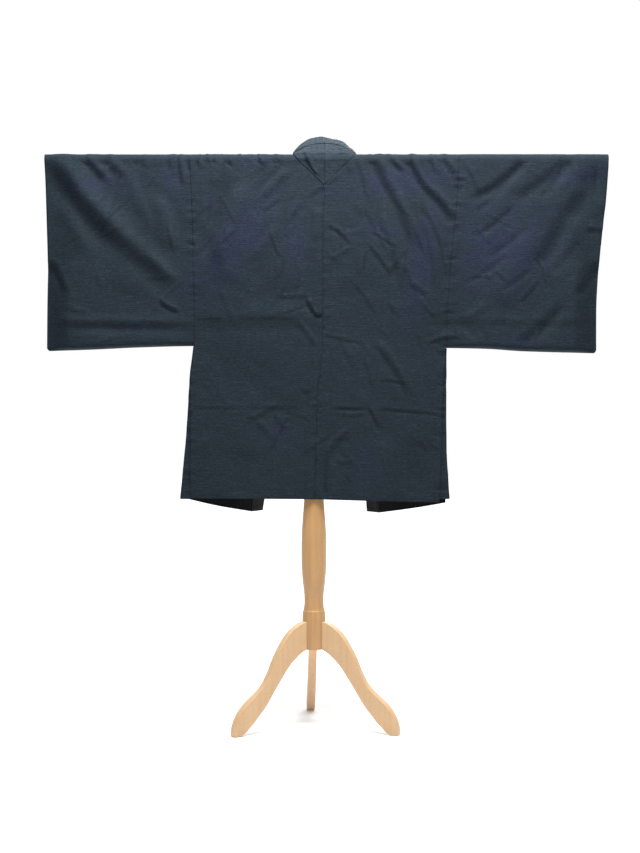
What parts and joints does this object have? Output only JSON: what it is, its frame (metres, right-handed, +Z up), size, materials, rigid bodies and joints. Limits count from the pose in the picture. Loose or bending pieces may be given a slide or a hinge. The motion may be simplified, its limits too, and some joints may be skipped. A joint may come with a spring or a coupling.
{
  "type": "haori jacket on a tripod display stand",
  "caption": "Unlined haori jacket hung by a hidden crossbar on a turned wooden stand with cabriole feet; open front, sleeves, neck and hem.",
  "frame": {"origin": "on the floor, under the middle of the whole outline in plan", "axes": "+Z up along the post, +X to the wearer's left along the shoulders, +Y from the jacket's front to its back, so the back faces +Y"},
  "size_m": [1.3397, 0.3527, 1.4201],
  "materials": {
    "cloth": "matt plain-weave cotton, indigo slate",
    "wood": "clear satin beech"
  },
  "bodies": {
    "root": {"body_left": "cloth", "body_right": "cloth", "sleeve_left": "cloth", "sleeve_right": "cloth", "gusset_left": "cloth", "gusset_right": "cloth", "neck_left": "cloth", "neck_right": "cloth", "collar": "cloth", "crossbar": "wood", "post": "wood", "leg_1": "wood", "leg_2": "wood", "leg_3": "wood"}
  },
  "joints": []
}
